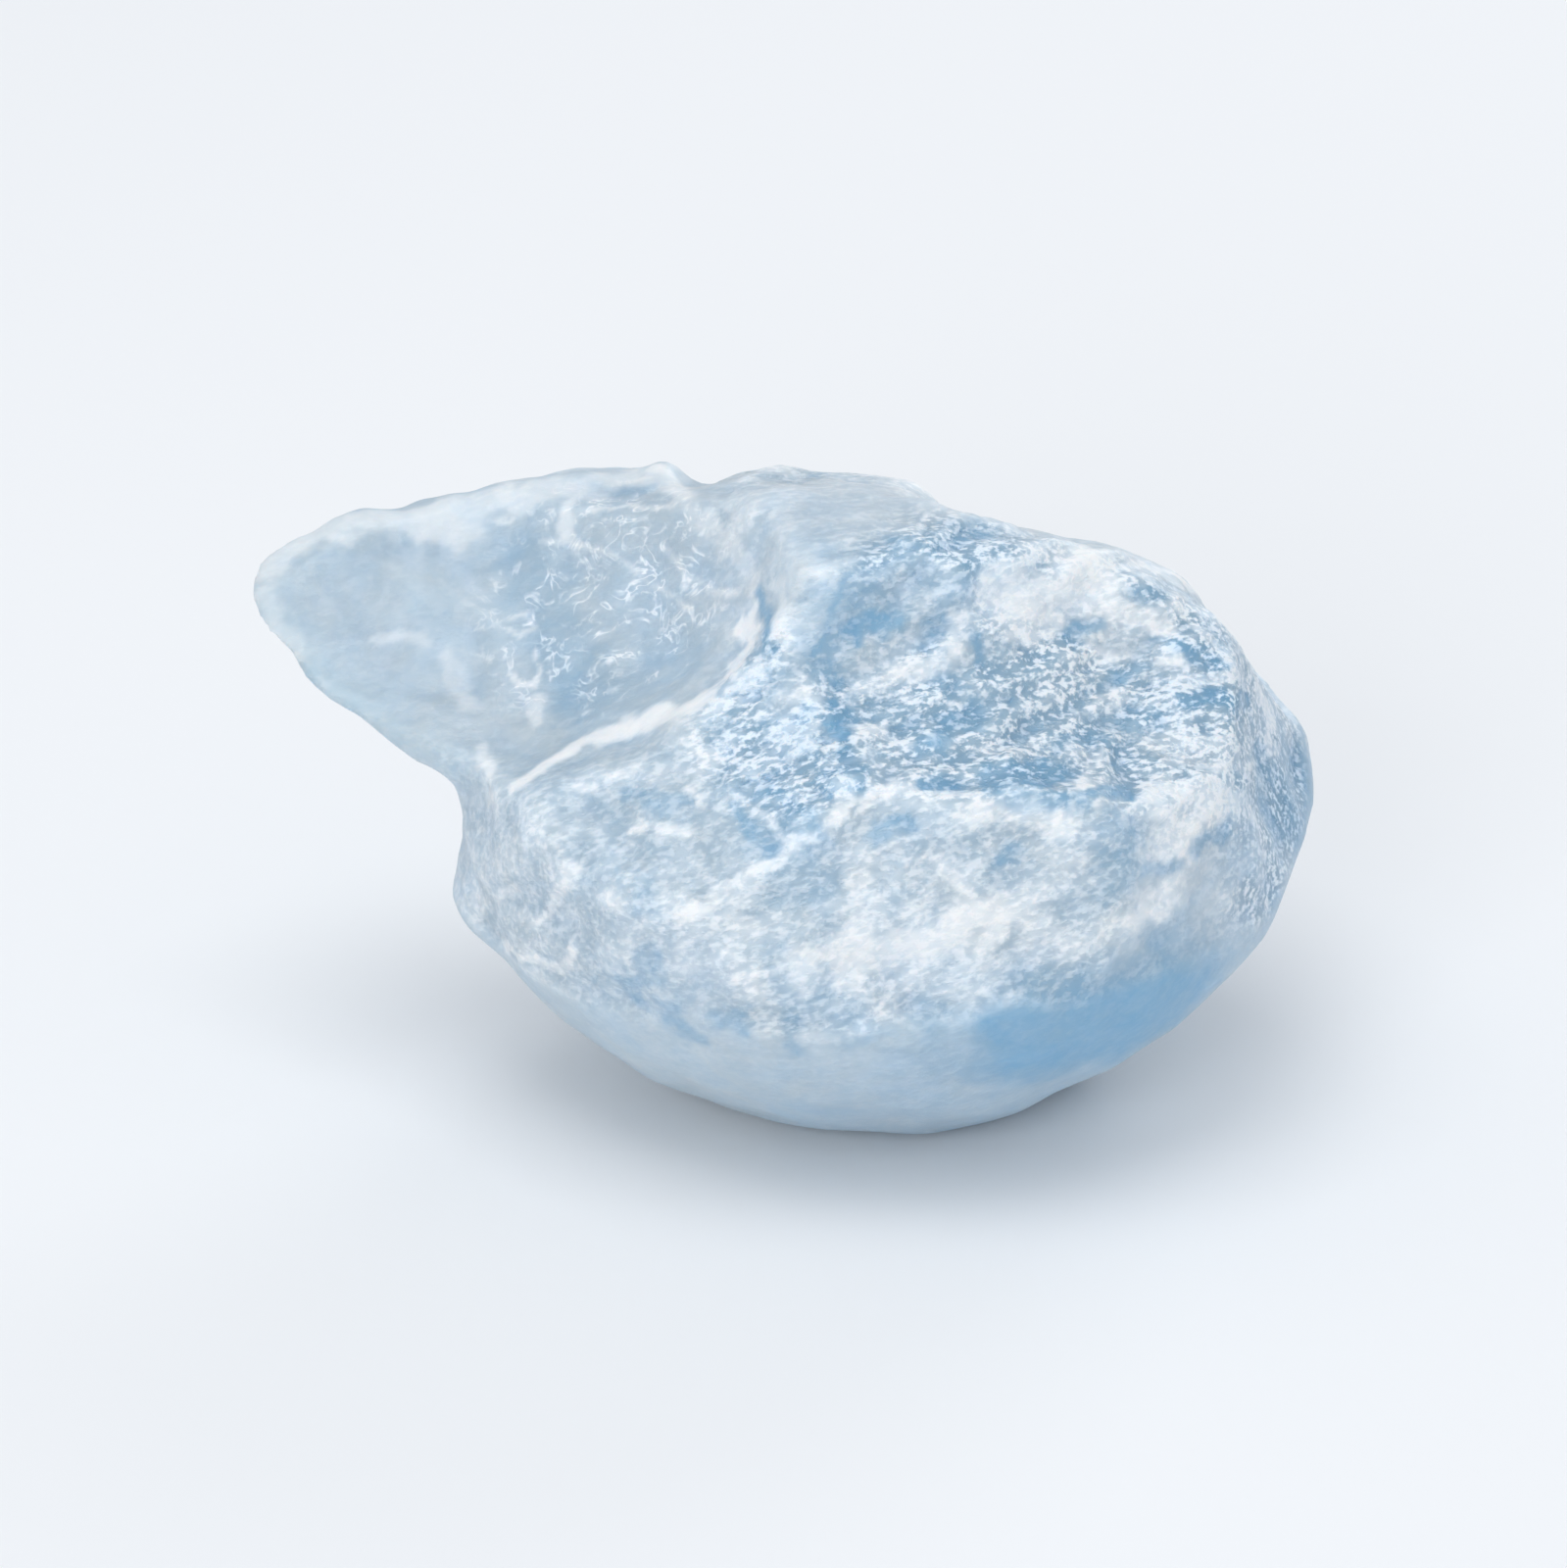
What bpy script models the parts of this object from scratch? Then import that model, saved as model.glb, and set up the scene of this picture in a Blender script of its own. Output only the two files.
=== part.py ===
"""Rough celestite: one loose chunk, as it breaks out of a geode wall.

The chunk is a rounded body with a wedge-shaped lobe running off to its left. Its lower half is a
worn, smooth skin. Everything above is broken crystal: cleavage faces that meet along a brow across
the front, a shell-shaped fracture that hollows out the lobe, and fine ledges where the crystal
split layer by layer. The chunk lies on a small flat face.

Everything is in metres, +Z is up, the front of the chunk looks along -Y, and the origin is the
middle of its bounding box, on the ground.
"""

import math

import bmesh
import bpy
from mathutils import Matrix, Vector, noise

MM = 0.001

# The rounded body. Every point below is counted from its middle.
BODY_HALF_LENGTH = 18.5 * MM
BODY_HALF_DEPTH = 16.3 * MM
BODY_HALF_HEIGHT = 13.9 * MM
# The flat face that the chunk lies on is this far under the middle of the body.
BASE_DEPTH = 12.5 * MM

# Cleavage faces of the body: a point on the plane in millimetres, and the way the face looks.
CLEAVES = {
    "left_face": ((-1.2, -12.3, 6.8), (-0.33, -0.65, 0.68)),
    "frosted_front": ((0.0, -13.2, 6.1), (0.05, -0.968, 0.242)),
    "right_shoulder": ((4.6, 4.8, 10.4), (0.26, 0.41, 0.87)),
    "right_corner": ((14.7, 2.8, 6.0), (0.786, 0.261, 0.56)),
    "end_face": ((14.9, -8.6, 3.7), (0.931, -0.197, 0.309)),
    "right_end": ((18.3, 0.0, 0.0), (0.931, -0.155, -0.333)),
    "right_low": ((14.2, -4.4, -6.4), (0.725, -0.291, -0.624)),
    "right_rim": ((8.0, -6.0, -10.8), (0.493, -0.368, -0.788)),
    "left_end": ((-18.0, 0.0, 0.0), (-1.0, 0.0, 0.0)),
    "back_upper": ((2.0, 9.5, 9.0), (0.18, 0.66, 0.72)),
    "back_wall": ((3.0, 13.2, -1.0), (-0.14, 0.98, -0.10)),
    "back_left": ((-12.0, 8.0, -2.0), (-0.78, 0.60, -0.16)),
    "back_right": ((13.5, 8.5, -3.0), (0.80, 0.58, -0.12)),
    "back_low": ((-6.7, 11.8, -5.9), (-0.45, 0.80, -0.40)),
    "under_left": ((-7.3, 1.7, -11.9), (-0.52, 0.12, -0.85)),
    "under_back": ((1.3, 8.3, -10.4), (0.10, 0.62, -0.78)),
    "under_right": ((7.7, 3.5, -11.3), (0.55, 0.25, -0.80)),
}

# Swellings of the body, each an ellipsoid: its middle and its half axes, in millimetres. One is
# the low hill on the crown, the other bulges out of the left end, under the lobe.
SWELLINGS = {
    "crown": ((-3.5, 2.1, 9.2), (8.5, 7.0, 4.0)),
    "cheek": ((-13.5, -2.0, -3.0), (4.95, 5.5, 3.8)),
}

# Corners of the lobe, in millimetres.
LOBE_CORNERS_MM = (
    (-27.6, 4.2, 7.7),
    (-27.0, 2.5, 5.9),
    (-27.0, 5.8, 9.2),
    (-26.0, 7.2, 6.6),
    (-22.8, 7.0, 10.2),
    (-15.6, 7.4, 11.1),
    (-10.8, 8.0, 11.8),
    (-9.0, 7.8, 12.4),
    (-11.5, 11.0, 10.6),
    (-24.5, 0.2, 4.2),
    (-19.8, -2.8, 2.6),
    (-16.8, -4.3, 1.0),
    (-8.0, -7.0, 9.9),
    (-13.0, -7.8, 5.2),
    (-21.6, 8.8, 4.2),
    (-17.4, 7.2, -0.6),
    (-10.0, 11.5, 1.0),
    (-5.6, 11.0, 8.0),
)

# Shell-shaped fractures, each a shallow dish: the middle of its mouth, the way it opens, the way
# its long side runs, and its half length, half width and depth. Lengths are in millimetres.
DISHES = {
    "lobe_shell": ((-15.9, -1.8, 7.7), (-0.265, -0.448, 0.853), (0.96, -0.08, 0.26), (10.2, 8.6, 2.7)),
    "rough_hollow": ((1.2, -9.4, 9.4), (0.04, -0.66, 0.75), (0.98, 0.10, 0.10), (6.6, 5.4, 1.6)),
    "rough_terrace": ((9.0, -7.2, 8.7), (0.28, -0.61, 0.74), (0.96, 0.20, -0.15), (8.0, 5.0, 1.5)),
    "back_shell": ((6.0, 10.5, 8.5), (0.25, 0.70, 0.67), (0.95, -0.30, 0.0), (9.0, 6.5, 1.6)),
}
# How many times deeper than its dish an ellipsoid is that cuts the dish.
DISH_ROUNDNESS = 4.5

# Grain of the skin that everything is merged into, and how often its edges are rubbed round.
SKIN_VOXEL = 0.45 * MM
RUB_PASSES = 5

# The worn skin ends at this height over the body's middle. It climbs to the right, and behind the
# front face it climbs to the back and wanders up and down more and more.
SKIN_EDGE_HEIGHT = -3.8 * MM
SKIN_EDGE_CLIMB = 0.11
SKIN_EDGE_WOBBLE = 0.9 * MM
SKIN_EDGE_WOBBLE_SPACING = 4.0 * MM
FRONT_REACH = -8.0 * MM
SKIN_EDGE_BACK_CLIMB = 0.28
SKIN_EDGE_BACK_WOBBLE = 0.30
SKIN_EDGE_BACK_SPACING = 9.0 * MM
SKIN_EDGE_WIDTH = 1.0 * MM
# The broken crystal lies this much deeper than the worn skin.
BROKEN_SETBACK = 0.35 * MM

# Lumps: their spacing and their height.
LUMPS = ((5.0 * MM, 0.5 * MM), (2.2 * MM, 0.28 * MM), (1.3 * MM, 0.12 * MM))
WORN_LUMP_SHARE = 0.35

# Ledges: how the crystal's layers face, how thick they are, and how far each one sticks out.
LAYER_NORMAL = Vector((-0.42, 0.38, 0.815)).normalized()
LAYER_THICKNESS = 1.8 * MM
LEDGE_DEPTH = 0.42 * MM
# The share of each layer over which it leans out; over the rest it drops to the next layer.
LEDGE_LEAN = 0.68
# How much the layers are bent: spacing of the bends, and their size in layers.
LAYER_BENDS = ((7.0 * MM, 1.5), (2.4 * MM, 0.5))
# The ledges fade in and out in patches of this size.
LEDGE_PATCH = 3.5 * MM
# Where the ledges are: middle and reach in millimetres, and strength.
LEDGE_SPOTS = (
    ((6.0, -8.0, 9.0), 11.5, 1.0),
    ((2.0, -14.0, 0.0), 8.0, 0.25),
    ((-9.0, -9.0, 4.0), 7.0, 0.3),
    ((4.0, 13.0, 2.0), 12.0, 0.7),
)

# How many triangles the finished skin keeps, and the angle in degrees past which an edge is sharp.
SKIN_TRIANGLES = 9200
SHARP_ANGLE = 50

# Pale ice blue, glassy under a frosted skin.
STONE_COLOUR = (0.48, 0.60, 0.70, 1.0)
STONE_ROUGHNESS = 0.4


def clear_scene():
    for obj in list(bpy.data.objects):
        bpy.data.objects.remove(obj)


def new_collection(name):
    collection = bpy.data.collections.new(name)
    bpy.context.scene.collection.children.link(collection)
    return collection


def add_object(name, bm, collection):
    mesh = bpy.data.meshes.new(name)
    bm.to_mesh(mesh)
    bm.free()
    obj = bpy.data.objects.new(name, mesh)
    collection.objects.link(obj)
    return obj


def add_helper(name, bm, collection):
    obj = add_object(name, bm, collection)
    obj.hide_render = True
    obj.display_type = "WIRE"
    return obj


def ellipsoid(half_axes, subdivisions):
    bm = bmesh.new()
    bmesh.ops.create_icosphere(bm, subdivisions=subdivisions, radius=1.0)
    bmesh.ops.scale(bm, vec=half_axes, verts=bm.verts)
    return bm


def cleave(bm, point, normal):
    """Takes off what lies beyond a plane and closes the cut with a flat face."""
    geometry = bm.verts[:] + bm.edges[:] + bm.faces[:]
    cut = bmesh.ops.bisect_plane(
        bm, geom=geometry, plane_co=point, plane_no=normal.normalized(), clear_outer=True
    )
    rim = [item for item in cut["geom_cut"] if isinstance(item, bmesh.types.BMEdge)]
    bmesh.ops.holes_fill(bm, edges=rim)


def body_mesh():
    bm = ellipsoid((BODY_HALF_LENGTH, BODY_HALF_DEPTH, BODY_HALF_HEIGHT), subdivisions=5)
    for point, normal in CLEAVES.values():
        cleave(bm, Vector(point) * MM, Vector(normal))
    return bm


def lobe_mesh():
    bm = bmesh.new()
    for corner in LOBE_CORNERS_MM:
        bm.verts.new(Vector(corner) * MM)
    hull = bmesh.ops.convex_hull(bm, input=bm.verts[:])
    inside = [item for item in hull["geom_interior"] if isinstance(item, bmesh.types.BMVert)]
    bmesh.ops.delete(bm, geom=inside, context="VERTS")
    return bm


def swelling_mesh(middle, half_axes):
    bm = ellipsoid(Vector(half_axes) * MM, subdivisions=4)
    bmesh.ops.translate(bm, vec=Vector(middle) * MM, verts=bm.verts)
    return bm


def dish_mesh(middle, opens, runs, size):
    """An ellipsoid that cuts a dish of the given size where it dips into the chunk."""
    half_length, half_width, depth = [value * MM for value in size]
    reach = depth * DISH_ROUNDNESS
    mouth_share = math.sqrt(1 - (1 - 1 / DISH_ROUNDNESS) ** 2)
    bm = ellipsoid((half_length / mouth_share, half_width / mouth_share, reach), subdivisions=5)
    up = Vector(opens).normalized()
    across = up.cross(Vector(runs)).normalized()
    along = across.cross(up)
    turn = Matrix((along, across, up)).transposed().to_4x4()
    centre = Vector(middle) * MM + up * (reach - depth)
    bmesh.ops.transform(bm, matrix=Matrix.Translation(centre) @ turn, verts=bm.verts)
    return bm


def apply_modifiers(obj):
    graph = bpy.context.evaluated_depsgraph_get()
    mesh = bpy.data.meshes.new_from_object(obj.evaluated_get(graph))
    obj.modifiers.clear()
    obj.data = mesh


def add_boolean(obj, other, operation):
    modifier = obj.modifiers.new(f"{operation} {other.name}", "BOOLEAN")
    modifier.operation = operation
    modifier.object = other


def smooth_step(value):
    value = min(max(value, 0.0), 1.0)
    return value * value * (3 - 2 * value)


def broken_share(point):
    """0 on the worn skin, 1 on broken crystal."""
    edge = SKIN_EDGE_HEIGHT + SKIN_EDGE_CLIMB * point.x
    edge += SKIN_EDGE_WOBBLE * noise.noise(point / SKIN_EDGE_WOBBLE_SPACING)
    behind = max(point.y - FRONT_REACH, 0.0)
    wander = SKIN_EDGE_BACK_WOBBLE * noise.noise(point / SKIN_EDGE_BACK_SPACING)
    edge += behind * (SKIN_EDGE_BACK_CLIMB + wander)
    return smooth_step((point.z - edge) / SKIN_EDGE_WIDTH)


def ledge_share(point):
    """How strong the ledges are: full in the inner half of a spot, and fading to its reach."""
    share = 0.0
    for middle, reach, strength in LEDGE_SPOTS:
        away = (point - Vector(middle) * MM).length / (reach * MM)
        share = max(share, strength * smooth_step(2 - 2 * away))
    return share


def ledge_height(point):
    """A sawtooth over the crystal's layers: each layer leans out and then drops to the next one."""
    layer = point.dot(LAYER_NORMAL) / LAYER_THICKNESS
    for spacing, size in LAYER_BENDS:
        layer += size * noise.noise(point / spacing)
    place = layer - math.floor(layer)
    return smooth_step(min(place / LEDGE_LEAN, (1 - place) / (1 - LEDGE_LEAN)))


def relief(point):
    """How far the surface lies outside the plain form at a point, in metres."""
    broken = broken_share(point)
    height = -BROKEN_SETBACK * broken
    for spacing, size in LUMPS:
        lump_share = WORN_LUMP_SHARE + (1 - WORN_LUMP_SHARE) * broken
        height += size * lump_share * noise.noise(point / spacing)
    patch = min(0.3 + 1.6 * abs(noise.noise(point / LEDGE_PATCH)), 1.0)
    strength = broken * ledge_share(point) * patch
    return height + LEDGE_DEPTH * strength * (ledge_height(point) - 0.5)


def weather(obj):
    """Rubs the edges round and gives the surface its lumps and ledges."""
    bm = bmesh.new()
    bm.from_mesh(obj.data)
    for _ in range(RUB_PASSES):
        bmesh.ops.smooth_vert(
            bm, verts=bm.verts, factor=0.5, use_axis_x=True, use_axis_y=True, use_axis_z=True
        )
    bm.normal_update()
    moved = [vert.co + vert.normal * relief(vert.co) for vert in bm.verts]
    for vert, place in zip(bm.verts, moved):
        vert.co = place
    bm.to_mesh(obj.data)
    bm.free()


def merge_skin(obj):
    """Turns the joined and cut forms into one even skin."""
    modifier = obj.modifiers.new("Skin", "REMESH")
    modifier.mode = "VOXEL"
    modifier.voxel_size = SKIN_VOXEL
    apply_modifiers(obj)


def thin_out(obj):
    """Leaves fewer, larger facets where the surface is even."""
    obj.data.calc_loop_triangles()
    modifier = obj.modifiers.new("Fewer facets", "DECIMATE")
    modifier.ratio = SKIN_TRIANGLES / len(obj.data.loop_triangles)
    modifier.use_collapse_triangulate = True
    apply_modifiers(obj)


def set_down(obj):
    """Gives the chunk its flat face and puts the middle of its bounding box over the origin."""
    bm = bmesh.new()
    bm.from_mesh(obj.data)
    cleave(bm, Vector((0, 0, -BASE_DEPTH)), Vector((0, 0, -1)))
    xs = [vert.co.x for vert in bm.verts]
    ys = [vert.co.y for vert in bm.verts]
    middle = Vector(((min(xs) + max(xs)) / 2, (min(ys) + max(ys)) / 2, -BASE_DEPTH))
    bmesh.ops.translate(bm, vec=-middle, verts=bm.verts)
    bmesh.ops.recalc_face_normals(bm, faces=bm.faces)
    if bm.calc_volume(signed=True) < 0:
        bmesh.ops.reverse_faces(bm, faces=bm.faces)
    bm.to_mesh(obj.data)
    bm.free()
    return middle


def stone_material():
    material = bpy.data.materials.new("pale blue celestite")
    material.use_nodes = True
    shader = material.node_tree.nodes["Principled BSDF"]
    shader.inputs["Base Color"].default_value = STONE_COLOUR
    shader.inputs["Roughness"].default_value = STONE_ROUGHNESS
    shader.inputs["Metallic"].default_value = 0.0
    return material


def build():
    clear_scene()
    parts = new_collection("Rough celestite")
    helpers = new_collection("Cutters")
    stone = add_object("celestite_stone", body_mesh(), parts)
    add_boolean(stone, add_helper("lobe", lobe_mesh(), helpers), "UNION")
    for name, swelling in SWELLINGS.items():
        add_boolean(stone, add_helper(name, swelling_mesh(*swelling), helpers), "UNION")
    for name, dish in DISHES.items():
        add_boolean(stone, add_helper(name, dish_mesh(*dish), helpers), "DIFFERENCE")
    apply_modifiers(stone)
    merge_skin(stone)
    weather(stone)
    thin_out(stone)
    middle = set_down(stone)
    for helper in helpers.objects:
        helper.location = -middle
    stone.data.shade_smooth()
    stone.data.set_sharp_from_angle(angle=math.radians(SHARP_ANGLE))
    stone.data.materials.append(stone_material())


build()
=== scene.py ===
# %% [markdown]
# # Rough celestite
#
# Celestite is strontium sulfate. It grows as pale blue crystals that line a geode. When such a
# lining is broken up, the chips keep three kinds of surface: shell-shaped fractures and cleavage
# faces of fresh crystal, white frosting where the crystal was bruised or the light is caught in
# hundreds of tiny splinters, and a smooth, worn skin that the light shines through.
#
# The notebook starts from the finished solid of one chip and dresses it: first finer relief, then
# painted masks that say where the stone is frosted or clear, and then one material that reads
# them.

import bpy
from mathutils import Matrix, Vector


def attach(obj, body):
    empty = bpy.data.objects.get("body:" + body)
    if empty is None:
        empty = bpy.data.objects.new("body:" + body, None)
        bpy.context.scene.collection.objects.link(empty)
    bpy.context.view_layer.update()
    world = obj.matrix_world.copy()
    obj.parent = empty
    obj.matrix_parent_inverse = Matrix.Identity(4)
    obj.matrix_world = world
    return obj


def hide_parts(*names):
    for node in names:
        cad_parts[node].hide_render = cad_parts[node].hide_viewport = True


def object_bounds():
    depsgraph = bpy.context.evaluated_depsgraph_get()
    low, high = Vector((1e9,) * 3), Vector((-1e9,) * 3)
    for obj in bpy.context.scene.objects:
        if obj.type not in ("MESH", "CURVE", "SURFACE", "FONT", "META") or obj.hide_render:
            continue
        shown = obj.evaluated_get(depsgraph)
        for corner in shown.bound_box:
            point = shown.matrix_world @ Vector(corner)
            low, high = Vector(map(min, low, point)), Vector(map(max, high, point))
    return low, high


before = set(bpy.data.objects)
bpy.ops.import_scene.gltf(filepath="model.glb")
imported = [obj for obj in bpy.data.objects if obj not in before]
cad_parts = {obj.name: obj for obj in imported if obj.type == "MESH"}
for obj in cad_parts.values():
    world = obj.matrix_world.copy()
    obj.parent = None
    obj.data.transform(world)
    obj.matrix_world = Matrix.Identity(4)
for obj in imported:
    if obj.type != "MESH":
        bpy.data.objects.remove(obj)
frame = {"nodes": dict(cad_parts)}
cad_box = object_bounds()
print("nodes:", ", ".join(frame["nodes"]))

# %% Measure the solid
import math

import bpy
import numpy as np
from mathutils import Vector, noise

MM = 0.001


def sides_mm(box):
    """The lengths of a box's sides in millimetres."""
    low, high = box
    return [round(side / MM, 1) for side in high - low]


print("solid:", sides_mm(cad_box), "mm")

# %% [markdown]
# ## The camera
#
# The photographer looks down on the stone by about 25 degrees. How far off they stand is a choice:
# a short lens from close by would swell the stone's front, so this one is long and far away, which
# keeps the proportions. The distance follows from the share of the picture that the stone fills.

# %% Place the camera
CAMERA_HEIGHT_DEG = 25
LENS_MM = 200
SENSOR_MM = 36
STONE_SHARE = 0.68
NEAREST_SEEN = 0.01

box_low, box_high = cad_box
aim = (box_low + box_high) / 2
frame_width = (box_high.x - box_low.x) / STONE_SHARE
distance = frame_width * LENS_MM / SENSOR_MM
tilt = math.radians(CAMERA_HEIGHT_DEG)
camera_place = aim + Vector((0, -math.cos(tilt), math.sin(tilt))) * distance
bpy.ops.object.camera_add(location=camera_place)
camera = bpy.context.object
camera.rotation_mode = "QUATERNION"
camera.rotation_quaternion = (aim - camera_place).to_track_quat("-Z", "Y")
camera.data.lens = LENS_MM
camera.data.sensor_width = SENSOR_MM
camera.data.clip_start = NEAREST_SEEN
bpy.context.scene.camera = camera
print("camera:", round(distance, 3), "m from the stone")

# %% [markdown]
# ## Floor and light
#
# The stone lies on a plain pale sheet of paper. A glossy table would mirror the stone, and a
# patterned one would draw the eye, so the paper is matt: it takes a soft shadow and throws light
# back up into the stone.

# %% Lay the floor
FLOOR_WIDTH = 3.0
PAPER_ROUGHNESS = 0.9


def srgb(code):
    """A colour from its sRGB hex code, as the linear values that the shaders want."""
    parts = [int(code[start : start + 2], 16) / 255 for start in (1, 3, 5)]
    linear = [c / 12.92 if c <= 0.04045 else ((c + 0.055) / 1.055) ** 2.4 for c in parts]
    return (*linear, 1.0)


bpy.ops.mesh.primitive_plane_add(size=FLOOR_WIDTH, location=(0, 0, 0))
floor = bpy.context.object
floor.name = "floor"
# Matt white paper: an even ground without a gleam, a little darker than pure white.
floor_material = bpy.data.materials.new("matt white paper")
floor_material.use_nodes = True
paper = floor_material.node_tree.nodes["Principled BSDF"]
paper.inputs["Base Color"].default_value = srgb("#EFF1F3")
paper.inputs["Roughness"].default_value = PAPER_ROUGHNESS
floor.data.materials.append(floor_material)
print("floor:", FLOOR_WIDTH, "m wide")

# %% [markdown]
# A clear sun would cut the stone into light and shade and hide the glow inside it. So the light
# comes from soft boxes: one hangs over the stone, one fills in from the front, and one stands low
# behind it, because light that enters a translucent stone from behind is what makes it glow. The
# surroundings are pale too, so no shadow is deep.

# %% Hang the lights
LIGHTS = (
    # name, place and width in metres, watts
    ("overhead", (-0.06, -0.06, 0.50), 0.35, 0.8),
    ("front_fill", (-0.20, -0.60, 0.28), 0.30, 1.3),
    ("back_glow", (0.25, 0.45, 0.20), 0.25, 0.6),
)
SURROUNDINGS_STRENGTH = 0.63

for name, lamp_place, width, watts in LIGHTS:
    bpy.ops.object.light_add(type="AREA", location=lamp_place)
    lamp = bpy.context.object
    lamp.name = name
    lamp.rotation_mode = "QUATERNION"
    lamp.rotation_quaternion = (aim - Vector(lamp_place)).to_track_quat("-Z", "Y")
    lamp.data.size = width
    lamp.data.energy = watts

world = bpy.data.worlds.new("pale surroundings")
bpy.context.scene.world = world
world.use_nodes = True
sky = world.node_tree.nodes["Background"]
sky.inputs["Color"].default_value = srgb("#F7FAFF")
sky.inputs["Strength"].default_value = SURROUNDINGS_STRENGTH

bpy.context.scene.view_settings.view_transform = "Standard"
print("lights:", len(LIGHTS))

# %% [markdown]
# ## A finer skin
#
# The solid has facets of about a millimetre, too coarse for splinters. Subdividing them would keep
# their pattern and crowd points where the facets are small already. A voxel remesh covers the
# stone with even cells instead, a little over a fifth of a millimetre wide, so that the whole
# stone stays under 200,000 triangles. The copy's doubled corners are merged first, and a smoothing
# takes away the old facets.

# %% Copy and remesh the solid
SKIN_CELL = 0.224 * MM
SAME_CORNER = 0.002 * MM
SMOOTHING_PASSES = 4


def select_only(obj):
    """An operator acts on all that is selected, so nothing but this object may be."""
    bpy.ops.object.select_all(action="DESELECT")
    obj.select_set(True)
    bpy.context.view_layer.objects.active = obj


solid = frame["nodes"]["celestite_stone"]
stone = bpy.data.objects.new("rough_celestite", solid.data.copy())
bpy.context.scene.collection.objects.link(stone)
stone.data.materials.clear()
select_only(stone)
bpy.ops.object.mode_set(mode="EDIT")
bpy.ops.mesh.select_all(action="SELECT")
bpy.ops.mesh.remove_doubles(threshold=SAME_CORNER)
bpy.ops.object.mode_set(mode="OBJECT")

bpy.ops.object.modifier_add(type="REMESH")
stone.modifiers["Remesh"].mode = "VOXEL"
stone.modifiers["Remesh"].voxel_size = SKIN_CELL
bpy.ops.object.modifier_apply(modifier="Remesh")
bpy.ops.object.modifier_add(type="SMOOTH")
stone.modifiers["Smooth"].iterations = SMOOTHING_PASSES
bpy.ops.object.modifier_apply(modifier="Smooth")
print("skin:", len(stone.data.vertices), "points,", len(stone.data.polygons), "faces")

# %% [markdown]
# ## Reading the surface
#
# Where a chip is bruised, clean or worn has much to do with its shape: edges are bruised first,
# and hollows stay clean. Shader nodes could look for edges too, but they see one point at a time.
# The skin is read as arrays instead, so that each point can be compared with its surroundings.
# Places are in millimetres from here on, counted from the origin of the solid.

# %% Read the skin
def skin_vectors(kind):
    """One vector for every point of the skin: its place ("co") or its normal ("normal")."""
    values = np.empty(len(stone.data.vertices) * 3)
    stone.data.vertices.foreach_get(kind, values)
    return values.reshape(-1, 3)


points = skin_vectors("co") / MM
normals = skin_vectors("normal")
print("skin reaches up to", round(float(points[:, 2].max()), 1), "mm")

# %% Compare with the surroundings
edge_ends = np.empty(len(stone.data.edges) * 2, dtype=np.int32)
stone.data.edges.foreach_get("vertices", edge_ends)
edge_ends = edge_ends.reshape(-1, 2)
edge_starts = np.concatenate((edge_ends[:, 0], edge_ends[:, 1]))
edge_stops = np.concatenate((edge_ends[:, 1], edge_ends[:, 0]))
neighbour_count = np.bincount(edge_starts, minlength=len(points))


def relaxed(values, passes):
    """Each point's values, averaged with its neighbours' again and again."""
    result = values.copy()
    for _ in range(passes):
        for column in range(result.shape[1]):
            total = np.bincount(edge_starts, weights=result[edge_stops, column])
            result[:, column] = (result[:, column] + total) / (1 + neighbour_count)
    return result


def stands_out(passes):
    """How far each point stands out from the relaxed skin, in millimetres."""
    return np.einsum("ij,ij->i", normals, points - relaxed(points, passes))


print("neighbours of a point:", round(float(neighbour_count.mean()), 1))

# %% [markdown]
# ## Kinds of surface
#
# The worn skin covers the bottom and ends in a wavy line low on the front, the same line as in the
# solid; behind, the line climbs. Above it the crystal is broken. Each kind of surface could have a
# material of its own, but then it would end at a hard border. Here each kind is a share between 0
# and 1 for every point instead, so that they fade into each other as they do on a stone.

# %% Find the worn skin
BODY_MIDDLE = np.array((4.29, 0.64, 12.5))
# The line's height over the body's middle, and how much it rises per millimetre to the right.
LINE_HEIGHT, LINE_RISE = -3.8, 0.11
LINE_WAVE, LINE_WAVE_SPACING = 0.9, 4.0
# Behind this depth it climbs, also per millimetre.
CLIMB_FROM, CLIMB = -8.0, 0.28
CLIMB_WAVE, CLIMB_WAVE_SPACING = 0.30, 9.0
LINE_FADE = (-0.1, 1.0)


def ramp(values, low, high):
    """0 below low, 1 above high, and a soft step between them."""
    share = np.clip((values - low) / (high - low), 0, 1)
    return share * share * (3 - 2 * share)


def lumps(places, spacing):
    """Soft noise from about -1 to 1 with lumps that are this many millimetres apart."""
    return np.array([noise.noise(Vector(place)) for place in places / spacing])


from_body = points - BODY_MIDDLE
line = LINE_HEIGHT + LINE_RISE * from_body[:, 0]
line += LINE_WAVE * lumps(from_body, LINE_WAVE_SPACING)
behind = np.maximum(from_body[:, 1] - CLIMB_FROM, 0)
line += behind * (CLIMB + CLIMB_WAVE * lumps(from_body, CLIMB_WAVE_SPACING))
broken = ramp(from_body[:, 2] - line, *LINE_FADE)
print("broken share of the skin:", round(float(broken.mean()), 2))

# %% [markdown]
# The broken part has four regions. On the left lies the scoop, a smooth shell-shaped fracture. To
# its right is a rough hollow, where the crystal split in many small steps, and the same break goes
# on behind. Below them lie two bruised faces, one to the front and one to the left. Where a
# region is one plain face, it is found by the direction that it faces. The others, and the bent
# end of the left face, are marked with balls in space.

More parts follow.
